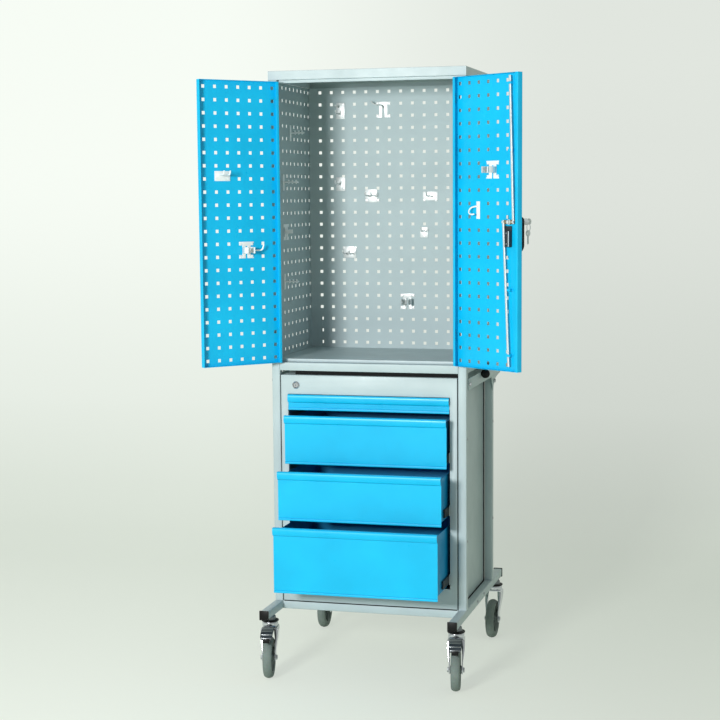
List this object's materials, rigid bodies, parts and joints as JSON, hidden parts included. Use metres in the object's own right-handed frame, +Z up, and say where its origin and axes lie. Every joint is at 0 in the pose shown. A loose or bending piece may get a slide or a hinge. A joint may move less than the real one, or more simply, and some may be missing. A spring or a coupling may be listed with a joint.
{
  "type": "tool cart",
  "caption": "Wheeled workshop tool cart: square-tube frame, drawer unit below, perforated tool cabinet with two doors above, rear push handle and braked front casters.",
  "frame": {"origin": "on the floor under the middle of the whole object's bounding box, doors and drawers open as stored", "axes": "+Z up, +X to the right as seen from the front, +Y to the rear; the drawers pull out towards -Y"},
  "size_m": [0.9398, 0.8134, 1.809],
  "materials": {
    "black_plastic": "black moulded plastic",
    "blue_paint": "satin bright blue powder coat",
    "brass": "yellow passivated plate",
    "chrome": "bright plated steel",
    "grey_paint": "satin light grey powder coat",
    "grey_plastic": "grey moulded plastic",
    "grey_rubber": "grey non-marking rubber tread",
    "zinc": "zinc plated steel"
  },
  "bodies": {
    "cart": {"base_cross_front": "grey_paint", "base_cross_rear": "grey_paint", "base_rail_left": "grey_paint", "base_rail_right": "grey_paint", "cabinet_back": "grey_paint", "cabinet_floor": "grey_paint", "cabinet_side_left": "grey_paint", "cabinet_side_right": "grey_paint", "cabinet_top": "grey_paint", "drawer_unit_shell": "grey_paint", "handle_bracket_left": "grey_paint", "handle_bracket_right": "grey_paint", "hinge_lower_left": "zinc", "hinge_lower_right": "zinc", "hinge_upper_left": "zinc", "hinge_upper_right": "zinc", "post_front_left": "grey_paint", "post_front_right": "grey_paint", "post_rear_left": "grey_paint", "post_rear_right": "grey_paint", "push_handle": "grey_paint", "top_cross_front": "grey_paint", "top_cross_rear": "grey_paint", "top_rail_left": "grey_paint", "top_rail_right": "grey_paint"},
    "brake_fl": {"brake_fl": "grey_plastic"},
    "brake_fr": {"brake_fr": "grey_plastic"},
    "caster_fl": {"caster_fork_fl": "chrome"},
    "caster_fr": {"caster_fork_fr": "chrome"},
    "caster_rl": {"caster_fork_rl": "chrome"},
    "caster_rr": {"caster_fork_rr": "chrome"},
    "wheel_fl": {"caster_wheel_fl": "grey_rubber"},
    "wheel_fr": {"caster_wheel_fr": "grey_rubber"},
    "wheel_rl": {"caster_wheel_rl": "grey_rubber"},
    "wheel_rr": {"caster_wheel_rr": "grey_rubber"},
    "lock": {"door_handle": "black_plastic", "lock_cam": "brass"},
    "door_left": {"door_left": "blue_paint"},
    "door_right": {"door_right": "blue_paint", "handle_plate": "black_plastic", "lock_housing": "grey_plastic"},
    "drawer_1": {"drawer_1_box": "blue_paint", "drawer_1_front": "blue_paint"},
    "drawer_2": {"drawer_2_box": "blue_paint", "drawer_2_front": "blue_paint"},
    "drawer_3": {"drawer_3_box": "blue_paint", "drawer_3_front": "blue_paint"},
    "drawer_4": {"drawer_4_box": "blue_paint", "drawer_4_front": "blue_paint"},
    "rod_lower": {"rod_lower": "zinc"},
    "rod_upper": {"rod_upper": "zinc"},
    "slides_1": {"slide_1_left": "zinc", "slide_1_right": "zinc"},
    "slides_2": {"slide_2_left": "zinc", "slide_2_right": "zinc"},
    "slides_3": {"slide_3_left": "zinc", "slide_3_right": "zinc"},
    "slides_4": {"slide_4_left": "zinc", "slide_4_right": "zinc"},
    "unit_lock": {"unit_lock": "chrome"}
  },
  "joints": [
    {"name": "left_door_hinge", "type": "hinge", "parent": "cart", "child": "door_left", "pos_m": [-0.2918, -0.19833, 1.36], "axis": [0, 0, 1], "range_deg": [-37.7, 132.3]},
    {"name": "right_door_hinge", "type": "hinge", "parent": "cart", "child": "door_right", "pos_m": [0.2522, -0.19833, 1.36], "axis": [0, 0, -1], "range_deg": [-24.06, 145.94]},
    {"name": "lock_turn", "type": "hinge", "parent": "door_right", "child": "lock", "pos_m": [0.43446, -0.32154, 1.364], "axis": [-0.5601, -0.8285, 0], "range_deg": [-90, 90]},
    {"name": "rod_upper_slide", "type": "slide", "parent": "door_right", "child": "rod_upper", "axis": [0, 0, 1], "range_m": [-0.01601, 0.01601]},
    {"name": "rod_lower_slide", "type": "slide", "parent": "door_right", "child": "rod_lower", "axis": [0, 0, -1], "range_m": [-0.01601, 0.01601]},
    {"name": "drawer_1_run", "type": "slide", "parent": "cart", "child": "drawer_1", "axis": [0, -1, 0], "range_m": [0, 0.33]},
    {"name": "slides_1_run", "type": "slide", "parent": "cart", "child": "slides_1", "axis": [0, -1, 0], "range_m": [0, 0.165]},
    {"name": "drawer_2_run", "type": "slide", "parent": "cart", "child": "drawer_2", "axis": [0, -1, 0], "range_m": [-0.04, 0.29]},
    {"name": "slides_2_run", "type": "slide", "parent": "cart", "child": "slides_2", "axis": [0, -1, 0], "range_m": [-0.02, 0.145]},
    {"name": "drawer_3_run", "type": "slide", "parent": "cart", "child": "drawer_3", "axis": [0, -1, 0], "range_m": [-0.112, 0.218]},
    {"name": "slides_3_run", "type": "slide", "parent": "cart", "child": "slides_3", "axis": [0, -1, 0], "range_m": [-0.056, 0.109]},
    {"name": "drawer_4_run", "type": "slide", "parent": "cart", "child": "drawer_4", "axis": [0, -1, 0], "range_m": [-0.163, 0.167]},
    {"name": "slides_4_run", "type": "slide", "parent": "cart", "child": "slides_4", "axis": [0, -1, 0], "range_m": [-0.0815, 0.0835]},
    {"name": "unit_lock_turn", "type": "hinge", "parent": "cart", "child": "unit_lock", "pos_m": [-0.2443, -0.19533, 0.874], "axis": [0, -1, 0], "range_deg": [0, 90]},
    {"name": "caster_fl_swivel", "type": "hinge", "parent": "cart", "child": "caster_fl", "pos_m": [-0.3073, -0.28433, 0.17], "axis": [0, 0, 1], "continuous": true},
    {"name": "wheel_fl_spin", "type": "hinge", "parent": "caster_fl", "child": "wheel_fl", "pos_m": [-0.29973, -0.32157, 0.0625], "axis": [0.9799, 0.1994, 0], "continuous": true},
    {"name": "brake_fl_press", "type": "hinge", "parent": "caster_fl", "child": "brake_fl", "pos_m": [-0.30072, -0.31667, 0.156], "axis": [0.9799, 0.1994, 0], "range_deg": [0, 8]},
    {"name": "caster_fr_swivel", "type": "hinge", "parent": "cart", "child": "caster_fr", "pos_m": [0.2677, -0.28433, 0.17], "axis": [0, 0, 1], "continuous": true},
    {"name": "wheel_fr_spin", "type": "hinge", "parent": "caster_fr", "child": "wheel_fr", "pos_m": [0.2743, -0.32175, 0.0625], "axis": [0.9848, 0.1736, 0], "continuous": true},
    {"name": "brake_fr_press", "type": "hinge", "parent": "caster_fr", "child": "brake_fr", "pos_m": [0.27343, -0.31683, 0.156], "axis": [0.9848, 0.1736, 0], "range_deg": [0, 8]},
    {"name": "caster_rl_swivel", "type": "hinge", "parent": "cart", "child": "caster_rl", "pos_m": [-0.3073, 0.32167, 0.17], "axis": [0, 0, 1], "continuous": true},
    {"name": "wheel_rl_spin", "type": "hinge", "parent": "caster_rl", "child": "wheel_rl", "pos_m": [-0.30498, 0.28374, 0.0625], "axis": [0.9981, 0.061, 0], "continuous": true},
    {"name": "caster_rr_swivel", "type": "hinge", "parent": "cart", "child": "caster_rr", "pos_m": [0.2677, 0.32167, 0.17], "axis": [0, 0, 1], "continuous": true},
    {"name": "wheel_rr_spin", "type": "hinge", "parent": "caster_rr", "child": "wheel_rr", "pos_m": [0.2677, 0.28367, 0.0625], "axis": [1, 0, 0], "continuous": true}
  ],
  "couplings": [
    {"joint": "rod_upper_slide", "follows": "lock_turn", "m_per_rad": 0.010186},
    {"joint": "rod_lower_slide", "follows": "lock_turn", "m_per_rad": 0.010186},
    {"joint": "slides_1_run", "follows": "drawer_1_run", "ratio": 0.5},
    {"joint": "slides_2_run", "follows": "drawer_2_run", "ratio": 0.5},
    {"joint": "slides_3_run", "follows": "drawer_3_run", "ratio": 0.5},
    {"joint": "slides_4_run", "follows": "drawer_4_run", "ratio": 0.5}
  ]
}
